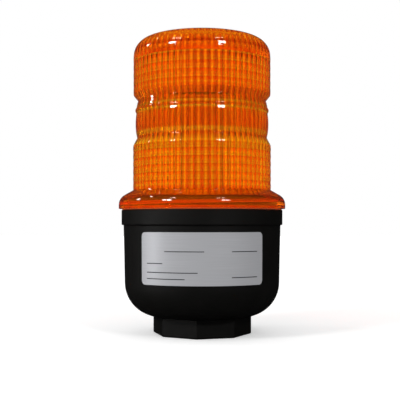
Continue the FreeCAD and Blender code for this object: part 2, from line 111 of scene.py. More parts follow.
def new_material(name):
    """An empty material and its node tree."""
    material = bpy.data.materials.new(name)
    material.use_nodes = True
    material.node_tree.nodes.clear()
    return material, material.node_tree


def grained(name, dark, pale, roughness, grain_mm, bump_mm, stretch=(1, 1, 1), **fixed):
    """A finish with mottled colour, uneven gloss and a grain: sizes in mm, other shader sockets by name."""
    material, tree = new_material(name)
    place = add(tree, "ShaderNodeTexCoord").outputs["Object"]
    place = add(tree, "ShaderNodeMapping", {"Vector": place, "Scale": stretch}).outputs["Vector"]
    grain = add(tree, "ShaderNodeTexNoise", {
        "Vector": place, "Scale": 1 / (grain_mm * mm), "Detail": 3.0,
    }).outputs["Fac"]
    mottle = add(tree, "ShaderNodeTexNoise", {
        "Vector": place, "Scale": 1 / (mottle_grains * grain_mm * mm), "Detail": 2.0,
    }).outputs["Fac"]
    colour = add(tree, "ShaderNodeValToRGB", {"Fac": mottle})
    for element, position, code in zip(colour.color_ramp.elements, noise_span, (dark, pale)):
        element.position = position
        element.color = linear(code)
    gloss = add(tree, "ShaderNodeMapRange", {
        "Value": grain, "From Min": noise_span[0], "From Max": noise_span[1],
        "To Min": roughness - gloss_spread, "To Max": roughness + gloss_spread,
    }).outputs["Result"]
    bump = add(tree, "ShaderNodeBump", {"Height": grain, "Distance": bump_mm * mm, "Strength": 1.0})
    shader = add(tree, "ShaderNodeBsdfPrincipled", {
        "Base Color": colour.outputs["Color"], "Roughness": gloss, "Normal": bump.outputs["Normal"], **fixed,
    })
    add(tree, "ShaderNodeOutputMaterial", {"Surface": shader.outputs["BSDF"]})
    return material


def rounded(corners):
    """An outline's points from its corners: (r, z), or (r, z, radius) where the corner is rounded."""
    points = []
    for i, corner in enumerate(corners):
        here = Vector(corner[:2])
        if len(corner) == 2:
            points.append(here)
            continue
        back = (Vector(corners[i - 1][:2]) - here).normalized()
        ahead = (Vector(corners[i + 1][:2]) - here).normalized()
        half = back.angle(ahead) / 2
        centre = here + (back + ahead).normalized() * corner[2] / math.sin(half)
        first = here + back * corner[2] / math.tan(half) - centre
        turn = first.angle_signed(here + ahead * corner[2] / math.tan(half) - centre)
        steps = max(2, math.ceil(abs(turn) / arc_step))
        for k in range(steps + 1):
            angle = math.atan2(first.y, first.x) - turn * k / steps
            points.append(centre + corner[2] * Vector((math.cos(angle), math.sin(angle))))
    return held(points)


def held(points):
    """An outline's points, with one more near each end of a long run, so that the run shades straight."""
    hold = 0.15 * mm
    long_run = 2.4 * mm
    made = points[:1]
    for here, ahead in zip(points, points[1:]):
        run = ahead - here
        if run.length > long_run:
            made += [here + run.normalized() * hold, ahead - run.normalized() * hold]
        made.append(ahead)
    return made


def outline_mesh(points, ripples=(), painted_lights=()):
    """An outline's points as a mesh in XZ, each with its way at a ripple's corner and its painted light."""
    mesh = bpy.data.meshes.new("outline")
    mesh.from_pydata([(r, 0, z) for r, z in points], [], [])
    ways = mesh.attributes.new("ripple", "FLOAT_VECTOR", "POINT")
    for way, (r, z) in zip(ways.data, ripples):
        way.vector = (r, 0, z)
    # Each point's painted light and shade, as a step on the lens's colour ramp.
    shades = mesh.attributes.new("painted_light", "FLOAT", "POINT")
    for shade, painted_light in zip(shades.data, painted_lights):
        shade.value = painted_light
    return mesh


def tree_with(name, inputs):
    """A geometry tree with named inputs, and the outputs of its input node."""
    tree = bpy.data.node_groups.new(name, "GeometryNodeTree")
    tree.interface.new_socket("Geometry", in_out="INPUT", socket_type="NodeSocketGeometry")
    for label, kind in inputs.items():
        tree.interface.new_socket(label, in_out="INPUT", socket_type="NodeSocket" + kind)
    tree.interface.new_socket("Geometry", in_out="OUTPUT", socket_type="NodeSocketGeometry")
    return tree, add(tree, "NodeGroupInput").outputs


def sweep_grid(tree, outline, length, columns):
    """A grid with a row for each point of an outline, and its points' rows, places and ways along X."""
    rows = add(tree, "GeometryNodeAttributeDomainSize", {"Geometry": outline}).outputs["Point Count"]
    grid = add(tree, "GeometryNodeMeshGrid", {
        "Size X": length, "Size Y": 1.0, "Vertices X": columns, "Vertices Y": rows,
    }).outputs["Mesh"]
    index = add(tree, "GeometryNodeInputIndex").outputs[0]
    row = add(tree, "ShaderNodeMath", {0: index, 1: rows}, operation="MODULO").outputs[0]
    place = add(tree, "GeometryNodeInputPosition").outputs[0]
    along = add(tree, "ShaderNodeSeparateXYZ", {0: place}).outputs["X"]
    return grid, row, place, along


def end_tree(tree, body, material):
    """End a geometry tree: instances made real and the material set."""
    body = add(tree, "GeometryNodeRealizeInstances", {"Geometry": body}).outputs[0]
    body = add(tree, "GeometryNodeSetMaterial", {"Geometry": body, "Material": material}).outputs[0]
    add(tree, "NodeGroupOutput", {"Geometry": body})
    return tree


def turned_tree():
    """Turn an outline of points (r, 0, z) about Z; flats or flutes bow in between the ripples' corners."""
    tree, given = tree_with("Turned body", {
        "Columns": "Int", "First corner": "Float", "Half ripple": "Float", "Material": "Material",
    })
    outline = given["Geometry"]
    half = given["Half ripple"]
    grid, row, place, around = sweep_grid(tree, outline, math.tau, given["Columns"])
    way = add(tree, "GeometryNodeInputNamedAttribute", {"Name": "ripple"}, data_type="FLOAT_VECTOR")
    shade = add(tree, "GeometryNodeInputNamedAttribute", {"Name": "painted_light"}, data_type="FLOAT")
    point, ripple, painted_light = [
        add(tree, "GeometryNodeSampleIndex", {
            "Geometry": outline, "Value": value, "Index": row,
        }, data_type=kind).outputs["Value"]
        for value, kind in (
            (place, "FLOAT_VECTOR"), (way.outputs[0], "FLOAT_VECTOR"), (shade.outputs[0], "FLOAT"),
        )
    ]
    across = add(tree, "ShaderNodeMath", {0: around, 1: half}, operation="PINGPONG").outputs[0]
    rise = add(tree, "ShaderNodeMapRange", {
        "Value": across, "From Max": half, "To Min": 1.0, "To Max": 0.0,
    }).outputs["Result"]
    bow = add(tree, "ShaderNodeMath", {0: rise, 1: 2.0}, operation="POWER").outputs[0]
    moved = add(tree, "ShaderNodeVectorMath", {
        0: ripple, 1: bow, 2: point,
    }, operation="MULTIPLY_ADD").outputs[0]
    angle = add(tree, "ShaderNodeMath", {0: around, 1: given["First corner"]}, operation="ADD").outputs[0]
    turned = add(tree, "ShaderNodeVectorRotate", {
        "Vector": moved, "Angle": angle,
    }, rotation_type="Z_AXIS").outputs[0]
    body = add(tree, "GeometryNodeSetPosition", {"Geometry": grid, "Position": turned}).outputs[0]
    reach = add(tree, "ShaderNodeVectorMath", {0: ripple}, operation="LENGTH").outputs["Value"]
    rippled = add(tree, "ShaderNodeMath", {0: reach, 1: least_ripple}, operation="GREATER_THAN").outputs[0]
    # The painted light and shade is stored on the mesh with the flag for rippled faces.
    for label, value in (("rippled", rippled), ("painted_light", painted_light)):
        body = add(tree, "GeometryNodeStoreNamedAttribute", {
            "Geometry": body, "Name": label, "Value": value,
        }).outputs[0]
    body = add(tree, "GeometryNodeMergeByDistance", {"Geometry": body, "Distance": weld}).outputs[0]
    return end_tree(tree, body, given["Material"])


def shaped(start, tree, inputs):
    """The plain mesh that a geometry tree makes of a starting mesh, with crisp edges."""
    maker = bpy.data.objects.new(tree.name, start)
    scene.collection.objects.link(maker)
    modifier = maker.modifiers.new(tree.name, "NODES")
    modifier.node_group = tree
    for socket in tree.interface.items_tree:
        if socket.in_out == "INPUT" and socket.name in inputs:
            modifier[socket.identifier] = inputs[socket.name]
    mesh = bpy.data.meshes.new_from_object(maker.evaluated_get(bpy.context.evaluated_depsgraph_get()))
    bpy.data.objects.remove(maker)
    return crisp(mesh)


def crisp(mesh):
    """A closed mesh with its faces pointing outwards, smooth but for its crisp edges."""
    work = bmesh.new()
    work.from_mesh(mesh)
    bmesh.ops.recalc_face_normals(work, faces=work.faces)
    for face in work.faces:
        face.smooth = True
    for edge in work.edges:
        edge.smooth = edge.calc_face_angle(0.0) < crisp_angle
    work.to_mesh(mesh)
    work.free()
    return mesh


def placed(name, mesh):
    """A mesh as an object of the scene, at the origin."""
    piece = bpy.data.objects.new(name, mesh)
    scene.collection.objects.link(piece)
    return piece


def bowl_corner_arc(start_radius):
    """Points of the bowl's round lower corner, from a radius beside the hub up to its wall."""
    centre = bowl_foot_radius - bowl_corner
    start = math.asin((start_radius - centre) / bowl_corner)
    steps = 14
    points = []
    for i in range(steps + 1):
        angle = start + (math.pi / 2 - start) * i / steps
        level = hub_height + bowl_corner * (1 - math.cos(angle))
        points.append((centre + bowl_corner * math.sin(angle), level))
    return points


def hub_ripple(r, z):
    """How far a point of the housing's outline stands out at the hub's corners."""
    margin = 1.0 * mm
    on_hub = z < hub_height + margin and r > hub_inner - margin
    return on_hub * max(0.0, hub_reach - max(0.0, r - hub_inner)), 0


# Black polycarbonate from a spark-eroded mould: dull, almost without reflections, faintly mottled. The grit
# is about 0.1 mm on the real one and drawn at 0.35 mm so that it shows.
black_polycarbonate = grained(
    "black polycarbonate, spark-eroded mould", "#090806", "#0d0b09", 0.55, grain_mm=0.35, bump_mm=0.02,
    **{"IOR": 1.58, "Specular IOR Level": 0.2},
)
turned_body = turned_tree()
housing_outline = rounded([
    (pipe_radius, pipe_lead_in),
    (pipe_radius + pipe_lead_in, 0, lead_in_round),
    (hub_inner, 0, hub_round),
    (hub_inner, hub_height),
    *bowl_corner_arc(hub_inner + hub_root),
    (bowl_radius, step_level, step_round),
    (collar_radius, step_level, mould_round),
    (collar_radius, collar_level, mould_round),
    (neck_radius, collar_level, ledge_round),
    (neck_radius, neck_level, mould_round),
    (mouth_radius, neck_level, mould_round),
    (bowl_foot_radius - bowl_wall, floor_level, bowl_corner - bowl_wall),
    (pipe_boss_radius, floor_level, mould_round),
    (pipe_boss_radius, pipe_boss_level, mould_round),
    (pipe_radius, pipe_boss_level, mould_round),
    (pipe_radius, pipe_lead_in),
])
hub_ripples = [hub_ripple(r, z) for r, z in housing_outline]
housing = placed("housing_shell", shaped(outline_mesh(housing_outline, hub_ripples), turned_body, {
    "Columns": housing_columns, "First corner": hub_corner_angle, "Half ripple": math.pi / hub_sides,
    "Material": black_polycarbonate,
}))
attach(housing, "base")
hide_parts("housing")

# Screw posts: three posts moulded with the bowl, each tied to the wall by a rib and bored for a brass stud.
# They carry the driver board.
post_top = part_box("driver_board")[0].z
post_count = 3
post_circle = mouth_radius - 6.6 * mm
post_radius = 4.0 * mm
post_round = 0.3 * mm
post_foot_band = 1.0 * mm
post_columns = 33
stud_radius = 1.5 * mm
stud_hole_floor = post_top - 9.0 * mm
stud_hole_round = 0.2 * mm
rib_width = 3.0 * mm
rib_bite = 0.4 * mm
rib_drop = 0.1 * mm
rib_bevel = 0.2 * mm


def copies_tree():
    """Copies of a mesh that lies towards +X, in equal turns about Z."""
    tree, given = tree_with("Copies about the axis", {
        "Count": "Int", "First angle": "Float", "Material": "Material",
    })
    points = add(tree, "GeometryNodePoints", {"Count": given["Count"]}).outputs[0]
    index = add(tree, "GeometryNodeInputIndex").outputs[0]
    step = add(tree, "ShaderNodeMath", {0: math.tau, 1: given["Count"]}, operation="DIVIDE").outputs[0]
    angle = add(tree, "ShaderNodeMath", {
        0: index, 1: step, 2: given["First angle"],
    }, operation="MULTIPLY_ADD").outputs[0]
    turn = add(tree, "ShaderNodeCombineXYZ", {"Z": angle}).outputs[0]
    copies = add(tree, "GeometryNodeInstanceOnPoints", {
        "Points": points, "Instance": given["Geometry"], "Rotation": turn,
    }).outputs[0]
    return end_tree(tree, copies, given["Material"])


def block(work, low, high, bevel):
    """A block with bevelled edges between two corners, added to a mesh."""
    size = Vector(high) - Vector(low)
    place = Matrix.Translation((Vector(low) + Vector(high)) / 2) @ Matrix.Diagonal((*size, 1))
    made = bmesh.ops.create_cube(work, size=1.0, matrix=place)["verts"]
    edges = list({edge for vertex in made for edge in vertex.link_edges})
    bmesh.ops.bevel(work, geom=edges, offset=bevel, segments=2, profile=0.5, affect="EDGES")


def bowl_wall_level(radius):
    """The level of the middle of the bowl's wall, in its round lower corner."""
    middle = bowl_corner - bowl_wall / 2
    return hub_height + bowl_corner - math.sqrt(middle ** 2 - (radius - bowl_foot_radius + bowl_corner) ** 2)


def screw_post_mesh():
    """One bored post with its rib to the wall, towards +X; its foot ends within the bowl's wall."""
    outline = rounded([
        (0, floor_level),
        (post_radius, floor_level),
        (post_radius, post_top, post_round),
        (stud_radius, post_top, stud_hole_round),
        (stud_radius, stud_hole_floor, stud_hole_round),
        (0, stud_hole_floor),
    ])
    post = shaped(outline_mesh(outline), turned_body, {"Columns": post_columns, "Half ripple": math.pi})
    post.transform(Matrix.Translation((post_circle, 0, 0)))
    work = bmesh.new()
    work.from_mesh(post)
    for vertex in work.verts:
        if vertex.co.z < floor_level + post_foot_band:
            vertex.co.z += bowl_wall_level(vertex.co.xy.length) - floor_level
    rib_low = (post_circle + post_radius - rib_bite, -rib_width / 2, hub_height + bowl_corner)
    rib_high = (bowl_foot_radius - bowl_wall / 2, rib_width / 2, post_top - rib_drop)
    block(work, rib_low, rib_high, rib_bevel)
    work.to_mesh(post)
    work.free()
    return post


copies = copies_tree()
posts = placed("screw_posts", shaped(screw_post_mesh(), copies, {
    "Count": post_count, "First angle": math.pi / 2, "Material": black_polycarbonate,
}))
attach(posts, "base")

# Threads of the housing: a taper thread in the hub's bore, drawn straight here, and one coarse ridge on the
# neck for the lens. Both are right-handed and moulded with the housing.
pipe_pitch = 2.209 * mm
pipe_thread_depth = 0.7 * mm
pipe_thread_turns = 7.0
lens_pitch = 3.0 * mm
neck_ridge_height = 0.6 * mm
ridge_foot = 1.2 * mm
ridge_crest = 0.5 * mm
ridge_turns = 0.8
ridge_bite = 0.12 * mm
# What the ridges on the neck and in the lens have in common.
ridge_inputs = {
    "Columns": 97, "Foot level": 65.0 * mm, "Rise": ridge_turns * lens_pitch,
    "Sweep": ridge_turns * math.tau, "Run-out": 0.06,
}


def thread_tree():
    """A ridge along a right-hand helix about Z: its section lies about its root, and its ends run out."""
    tree, given = tree_with("Thread ridge", {
        "Columns": "Int", "Root radius": "Float", "Foot level": "Float", "Rise": "Float",
        "First angle": "Float", "Sweep": "Float", "Run-out": "Float", "Material": "Material",
    })
    grid, row, place, along = sweep_grid(tree, given["Geometry"], 1.0, given["Columns"])
    along = add(tree, "ShaderNodeMath", {0: along, 1: 0.5}, operation="ADD").outputs[0]
    end = add(tree, "ShaderNodeMath", {0: along, 1: 0.5}, operation="PINGPONG").outputs[0]
    taper = add(tree, "ShaderNodeMapRange", {"Value": end, "From Max": given["Run-out"]}).outputs["Result"]
    section = add(tree, "GeometryNodeSampleIndex", {
        "Geometry": given["Geometry"], "Value": place, "Index": row,
    }, data_type="FLOAT_VECTOR").outputs["Value"]
    level, angle = [
        add(tree, "ShaderNodeMath", {0: along, 1: given[whole], 2: given[first]}, operation="MULTIPLY_ADD")
        for whole, first in (("Rise", "Foot level"), ("Sweep", "First angle"))
    ]
    root = add(tree, "ShaderNodeCombineXYZ", {"X": given["Root radius"], "Z": level.outputs[0]}).outputs[0]
    ridge = add(tree, "ShaderNodeVectorMath", {
        0: section, 1: taper, 2: root,
    }, operation="MULTIPLY_ADD").outputs[0]
    wound = add(tree, "ShaderNodeVectorRotate", {
        "Vector": ridge, "Angle": angle.outputs[0],
    }, rotation_type="Z_AXIS").outputs[0]
    body = add(tree, "GeometryNodeSetPosition", {"Geometry": grid, "Position": wound}).outputs[0]
    body = add(tree, "GeometryNodeMergeByDistance", {"Geometry": body, "Distance": weld}).outputs[0]
    return end_tree(tree, body, given["Material"])


def ridge_section(height, foot, crest):
    """A ridge's section about its root; a negative height stands inwards."""
    bite = -math.copysign(ridge_bite, height)
    return outline_mesh([
        (bite, -foot / 2), (height, -crest / 2), (height, crest / 2), (bite, foot / 2), (bite, -foot / 2),
    ])


thread = thread_tree()
pipe_section = ridge_section(-pipe_thread_depth, foot=0.9 * pipe_pitch, crest=0.25 * mm)
pipe_thread = placed("pipe_thread", shaped(pipe_section, thread, {
    "Columns": 337, "Root radius": pipe_radius, "Foot level": pipe_lead_in + 0.6 * pipe_pitch,
    "Rise": pipe_thread_turns * pipe_pitch, "Sweep": pipe_thread_turns * math.tau, "Run-out": 0.02,
    "Material": black_polycarbonate,
}))
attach(pipe_thread, "base")
neck_section = ridge_section(neck_ridge_height, ridge_foot, ridge_crest)
neck_ridge = placed("neck_thread", shaped(neck_section, thread, {
    **ridge_inputs, "Root radius": neck_radius, "First angle": 0.0, "Material": black_polycarbonate,
}))
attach(neck_ridge, "base")

# Rating label: silver polyester film with a satin face, cut with round corners and stuck on the front of the
# bowl. Its print is a few empty rules.
label_low, label_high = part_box("rating_label")
label_width = 63.0 * mm
label_height = label_high.z - label_low.z
label_corner = 2.0 * mm
label_thickness = 0.25 * mm
label_glue = 0.15 * mm
label_columns = 72
label_rows = 28
brush_length_mm = 25.0
brush_width_mm = 0.2
rule_width_mm = 0.4
# Each rule's level, start and end, from the middle of the film.
label_rules_mm = (
    (3.4, -18.0, 1.0),
    (-2.2, -28.0, -19.0),
    (-6.4, -28.0, -2.0),
    (-9.4, -28.0, -8.0),
    (3.4, 14.0, 28.0),
    (-8.6, 14.0, 28.0),
)


def bowl_radius_at(level):
    """The radius of the bowl's drafted wall."""
    share = (level - hub_height - bowl_corner) / (step_level - hub_height - bowl_corner)
    return bowl_foot_radius + share * (bowl_radius - bowl_foot_radius)


def label_mesh(material):
    """The film wrapped on the bowl, with its place on the flat film in millimetres as its UV map."""
    work = bmesh.new()
    flat = work.loops.layers.uv.new("film")
    sides = []
    for lift in (label_glue, label_glue + label_thickness):
        side = []
        for j in range(label_rows + 1):
            up = label_height / 2 * (1 - math.cos(math.pi * j / label_rows))
            edge = min(up, label_height - up, label_corner)
            half = label_width / 2 - label_corner + math.sqrt(label_corner ** 2 - (label_corner - edge) ** 2)
            level = label_low.z + up
            row = []
            for i in range(label_columns + 1):
                along = half * (2 * i / label_columns - 1)
                angle = along / bowl_radius_at(level)
                radius = bowl_radius_at(level) + lift
                vertex = work.verts.new((radius * math.sin(angle), -radius * math.cos(angle), level))
                row.append((vertex, (along / mm, (up - label_height / 2) / mm)))
            side.append(row)
        sides.append(side)

    def face(*corners):
        made = work.faces.new([vertex for vertex, _ in corners])
        for loop, (_, place) in zip(made.loops, corners):
            loop[flat].uv = place

    back, front = sides
    for j in range(label_rows):
        for i in range(label_columns):
            face(front[j][i], front[j][i + 1], front[j + 1][i + 1], front[j + 1][i])
            face(back[j][i], back[j + 1][i], back[j + 1][i + 1], back[j][i + 1])
    rim = [(0, i) for i in range(label_columns)] + [(j, label_columns) for j in range(label_rows)]
    rim += [(label_rows, i) for i in range(label_columns, 0, -1)]
    rim += [(j, 0) for j in range(label_rows, 0, -1)]
    for (j, i), (after_j, after_i) in zip(rim, rim[1:] + rim[:1]):
        face(front[after_j][after_i], front[j][i], back[j][i], back[after_j][after_i])
    mesh = bpy.data.meshes.new("rating_label_film")
    work.to_mesh(mesh)
    work.free()
    mesh.materials.append(material)
    return crisp(mesh)


def silver_film():
    """Silver polyester film: a satin half-metal face, faintly brushed along its length, with dark ink."""
    material, tree = new_material("silver polyester film, satin, printed rules")
    film = add(tree, "ShaderNodeUVMap", uv_map="film").outputs["UV"]
    place = add(tree, "ShaderNodeSeparateXYZ", {0: film}).outputs
    ink = 0.0
    for level, start, end in label_rules_mm:
        along = add(tree, "ShaderNodeMath", {
            0: place["X"], 1: (start + end) / 2, 2: (end - start) / 2,
        }, operation="COMPARE").outputs[0]
        across = add(tree, "ShaderNodeMath", {
            0: place["Y"], 1: level, 2: rule_width_mm / 2,
        }, operation="COMPARE").outputs[0]
        ink = add(tree, "ShaderNodeMath", {0: along, 1: across, 2: ink}, operation="MULTIPLY_ADD").outputs[0]
    stretch = add(tree, "ShaderNodeMapping", {
        "Vector": film, "Scale": (1 / brush_length_mm, 1 / brush_width_mm, 1.0),
    }).outputs[0]
    brushed = add(tree, "ShaderNodeTexNoise", {
        "Vector": stretch, "Scale": 1.0, "Detail": 4.0,
    }).outputs["Fac"]
    silver = add(tree, "ShaderNodeValToRGB", {"Fac": brushed})
    for element, position, code in zip(silver.color_ramp.elements, noise_span, ("#b6b7bb", "#c1c2c6")):
        element.position = position
        element.color = linear(code)
    colour = add(tree, "ShaderNodeMix", {
        "Factor": ink, 6: silver.outputs["Color"], 7: linear("#2c2d30"),
    }, data_type="RGBA").outputs[2]
    gloss = add(tree, "ShaderNodeMapRange", {"Value": brushed, "To Min": 0.36, "To Max": 0.5})
    bump = add(tree, "ShaderNodeBump", {"Height": brushed, "Distance": 0.01 * mm}).outputs["Normal"]
    shader = add(tree, "ShaderNodeBsdfPrincipled", {
        "Base Color": colour, "Metallic": 0.35, "Roughness": gloss.outputs["Result"], "Normal": bump,
    })
    add(tree, "ShaderNodeOutputMaterial", {"Surface": shader.outputs["BSDF"]})
    return material


label = placed("rating_label_film", label_mesh(silver_film()))
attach(label, "base")
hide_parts("rating_label")

# Driver board: a round green circuit board on the bowl's screw posts, with bought parts soldered on.
# Their shapes are the frame's own, and here they get their finishes.


def finish(slot, material):
    """Give the frame's pieces of a material slot their finish."""
    for subpart in frame["record"]["subparts"]:
        if subpart["material_slot"] == slot:
            mesh = frame["nodes"][subpart["node"]].data
            mesh.materials.clear()
            mesh.materials.append(material)


# Solder mask on glass epoxy: a smooth green lacquer with the weave's faint lumps under it.
finish("green_board", grained("green solder mask on glass epoxy", "#0c3a1c", "#12502a", 0.35, 0.8, 0.02))
# Glass-filled polyester: dull black with a faint flow pattern.
finish("black_moulding", grained("black polyester, glass filled", "#161617", "#202022", 0.5, 0.4, 0.02))
# Moulded polyamide: a waxy green.
finish("green_moulding", grained("green polyamide, moulded", "#1d6b3c", "#26804a", 0.45, 0.4, 0.02))
# Moulded polypropylene: an even, slightly waxy yellow.
finish("yellow_moulding", grained("yellow polypropylene, moulded", "#c99a20", "#d8ab34", 0.42, 0.4, 0.02))
# Sintered ferrite: a dark grey stone with ground faces.
finish("ferrite", grained("ferrite, sintered and ground", "#2a2a2c", "#38383a", 0.62, 0.3, 0.03))
# Polyester tape: glossy yellow, wound in level turns.
level_turns = (0.05, 0.05, 1)
finish("winding_tape", grained(
    "yellow polyester tape, wound", "#c8a51c", "#dabb3c", 0.28, 0.8, 0.03, level_turns,
))
# Shrink sleeve: a glossy blue-black skin with shallow wrinkles along the can.
upright_wrinkles = (1, 1, 0.2)
finish("can_sleeve", grained(
    "black vinyl sleeve, shrunk", "#14161f", "#1c2030", 0.26, 1.0, 0.01, upright_wrinkles,
))
# Dipped epoxy: a thick glossy blue coat with an orange-peel skin.
finish("blue_dip", grained("blue epoxy, dipped", "#12357c", "#1c4698", 0.24, 1.4, 0.03))
# Dipped lacquer: a glossy brown coat.
finish("resistor_coat", grained("brown lacquer, dipped", "#6e4c30", "#83603f", 0.3, 0.6, 0.02))

# Base board, studs and screws: a round white board on three brass studs above the driver board, held by
# steel screws. It closes the bowl and carries the LED tower.
# Turned brass: a warm metal with fine rings from the tool.
tool_rings = (0.2, 0.2, 1)
finish("brass", grained("brass, turned", "#b08a45", "#c9a35c", 0.3, 0.3, 0.01, tool_rings, Metallic=1.0))
# Zinc-plated steel: a cool grey metal, slightly cloudy.
finish("steel", grained("steel, zinc plated", "#9a9b9e", "#b4b6ba", 0.34, 0.4, 0.01, Metallic=1.0))
# White solder mask: an even white lacquer, soft in its gloss.
finish("white_board", grained("white solder mask on aluminium board", "#d9d8d2", "#e6e5df", 0.4, 0.8, 0.01))

# LED tower: a six-sided aluminium extrusion with a narrow board on each side and a black cap on top, held by
# a screw from each end. Three LEDs stand on each board.
led_face_radius = -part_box("led_board_1")[0].y
led_low, led_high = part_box("led_row_1")
led_faces = 6
first_face = -math.pi / 2
led_rows = 3
led_size = led_high.x - led_low.x
led_pitch = (led_high.z - led_low.z - led_size) / (led_rows - 1)
led_levels = [led_low.z + led_size / 2 + led_pitch * i for i in range(led_rows)]
led_body_height = 0.8 * mm
led_bevel = 0.15 * mm
led_window_radius = 1.5 * mm
led_window_height = -led_low.y - led_face_radius - led_body_height
# Extruded aluminium: a bright metal with fine die lines along it.
die_lines = (1, 1, 0.02)
finish("aluminium", grained(
    "aluminium, extruded", "#b2b4b6", "#c6c8ca", 0.38, 0.5, 0.01, die_lines, Metallic=1.0,
))
# White ceramic: an even, dry white.
white_ceramic = grained("white ceramic, fired", "#d6d5d0", "#e2e1dc", 0.5, 0.2, 0.004)
# Silicone over phosphor: a soft yellow drop with a wet gloss.
phosphor_silicone = grained("silicone over yellow phosphor, cast", "#d8b040", "#e6c65c", 0.2, 0.5, 0.005)


def led_body(work, level):
    """The square body of an LED towards +X, added to a mesh."""
    half = led_size / 2
    high = (led_face_radius + led_body_height, half, level + half)
    block(work, (led_face_radius, -half, level - half), high, led_bevel)


def led_window(work, level):
    """The domed window of an LED towards +X, added to a mesh."""
    middle = Matrix.Translation((led_face_radius + led_body_height, 0, level))
    shape = middle @ Matrix.Diagonal((led_window_height, led_window_radius, led_window_radius, 1))
    bmesh.ops.create_uvsphere(work, u_segments=16, v_segments=10, radius=1.0, matrix=shape)


def led_pieces(name, make, material):
    """One piece of every LED on the tower, made for one board and copied to the others."""
    work = bmesh.new()
    for level in led_levels:
        make(work, level)
    mesh = bpy.data.meshes.new(name)
    work.to_mesh(mesh)
    work.free()
    return placed(name, shaped(mesh, copies, {
        "Count": led_faces, "First angle": first_face, "Material": material,
    }))


led_bodies = led_pieces("led_bodies", led_body, white_ceramic)
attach(led_bodies, "base")
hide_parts(*[f"led_row_{i}" for i in range(1, led_faces + 1)])
led_windows = led_pieces("led_windows", led_window, phosphor_silicone)
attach(led_windows, "base")

# Lens seal: a flat ring moulded in silicone. It lies on the collar's ledge, and the lens's flange presses it
# down when the lens is screwed on.
# Red oxide silicone: a soft brick red with little gloss.
finish("seal_silicone", grained("red oxide silicone, moulded", "#9a4a26", "#a85630", 0.5, 0.6, 0.01))

# Lens: one amber polycarbonate moulding, polished, whose flange covers the seal and screws onto the neck.
# Ring lenses run round the outside and 60 upright flutes line the inside, so light spreads into a grid of
# lines. Painted light and shade along the flutes and round the rings make that grid stronger than its
# relief alone would, and painted shade darkens the flange and the recess.
lens_low, lens_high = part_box("lens")
lens_foot = lens_low.z
lens_round = 0.3 * mm
flange_radius = lens_high.x
flange_round = 5.5 * mm
flange_slope = math.tan(math.radians(30))
low_band_radius = flange_radius - 7.2 * mm
low_band_level = lens_foot + 9.432 * mm
low_band_height = 22.5 * mm
low_ring_depth = 0.15 * mm
low_ring_count = 6
low_rings = (low_band_level, low_band_height, low_ring_count)
flange_corner_level = low_band_level + (low_band_radius - flange_radius) * flange_slope
shoulder_round = 0.9 * mm
groove_round = 0.5 * mm
low_groove_level = low_band_level + 26.2 * mm
barrel_level = low_groove_level + 2.2 * mm
bead_level = low_groove_level + 12.6 * mm
bead_top_level = bead_level + 2.4 * mm
top_groove_level = bead_level + 6.2 * mm
bead_radius = low_band_radius - 1.7 * mm
low_groove = (low_band_radius - 2.1 * mm, low_groove_level)
barrel_foot = (low_band_radius - 1.6 * mm, barrel_level)
barrel_bulge = 0.4 * mm
bead_foot = (bead_radius, bead_level)
bead_top = (bead_radius, bead_top_level)
bead_bulge = 0.6 * mm
cone_ridge_shares = (0.3, 0.62)
top_groove = (low_band_radius - 2.6 * mm, top_groove_level)
top_band_radius = low_band_radius - 0.2 * mm
top_band_level = top_groove_level + 2.8 * mm
top_band_height = 19.6 * mm
top_ring_depth = 0.1 * mm
top_ring_count = 5
top_rings = (top_band_level, top_band_height, top_ring_count)
crown_level = top_band_level + top_band_height
crown_shoulder = 8.8 * mm
crown_dome = 125.0 * mm
crown_wall = 3.0 * mm
seal_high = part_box("lens_gasket")[1]
seal_recess_radius = seal_high.x + 0.3 * mm
socket_radius = neck_radius + 0.9 * mm
socket_roof = neck_level + 0.5 * mm
flute_count = 60
flute_angle = math.pi / flute_count
flute_depth = 0.5 * mm
flute_crest = low_band_radius - 5.0 * mm - flute_depth
flute_top = crown_level - 2.0 * mm
flute_end_round = 0.15 * mm
core_radius = flute_crest - flute_depth
crown_flute_foot = flute_top + 0.2 * mm
crown_flute_depth = 0.35 * mm
dome_flute_level = crown_level + 2.9 * mm
dome_flute_share = 0.5
lens_columns = 6 * flute_count + 1
recess_foot = low_band_level + low_band_height
recess_top = top_band_level
recess_fade = 0.4 * mm
# Painted light and shade on the lens, as steps on its colour ramp: shade below 0, light above 0.
recess_painted_shade = -0.03
recess_shade_foot = recess_foot + 0.5 * mm
recess_shade_top = recess_top - 0.1 * mm
recess_flute_painted_shade = -0.13
flange_slope_painted_shade = -0.13
flange_rim_painted_shade = -0.06
ring_line = 0.6 * mm
# Painted lines by level: light at edges and on rings, shade in ring valleys, at flute ends and on the crown.
ring_edge_painted_light = 0.5
ring_middle_painted_light = 0.3
valley_painted_shade = -0.18
edge_painted_light = 0.54
shade_tint = -0.36
flute_end_shade = 1.0 * mm
crown_shade = 0.9 * mm
crown_shade_level = crown_level + 1.9 * mm
outside_paleness = 0.65
# Painted light and shade across each inner flute: dark bars and pale lines drawn in its colour.
# From the valley between two flutes to a flute's crest: stops of (share of the way, painted light).
painted_flute_light = (
    (0.0, 0.2), (0.16, 0.2), (0.24, 0.64), (0.36, 0.64), (0.44, 0.28), (0.6, 0.28), (0.7, 1.0), (1.0, 1.0),
)
# Colours from the darkest painted shade to the palest painted light: stops of (painted light, colour).
amber_shade_to_light = ((0.0, "#501801"), (0.2, "#983002"), (0.4, "#c44c04"), (0.6, "#ff8407"), (1.0, "#fff430"))
flute_roughness = 0.08
flow_width = 9 * mm


def ring_lenses(radius, depth, foot, height, count):
    """Points of ring lenses, one above the other, without the end valleys."""
    pitch = height / count
    line = ring_line / pitch
    stops = (0.0, line, 2 * line, 0.35, 0.5, 0.65, 0.8, 1 - line)
    points = []
    for i in range(count):
        for along in stops:
            points.append((radius - depth * (2 * along - 1) ** 2, foot + pitch * (i + along)))
    return points[1:]


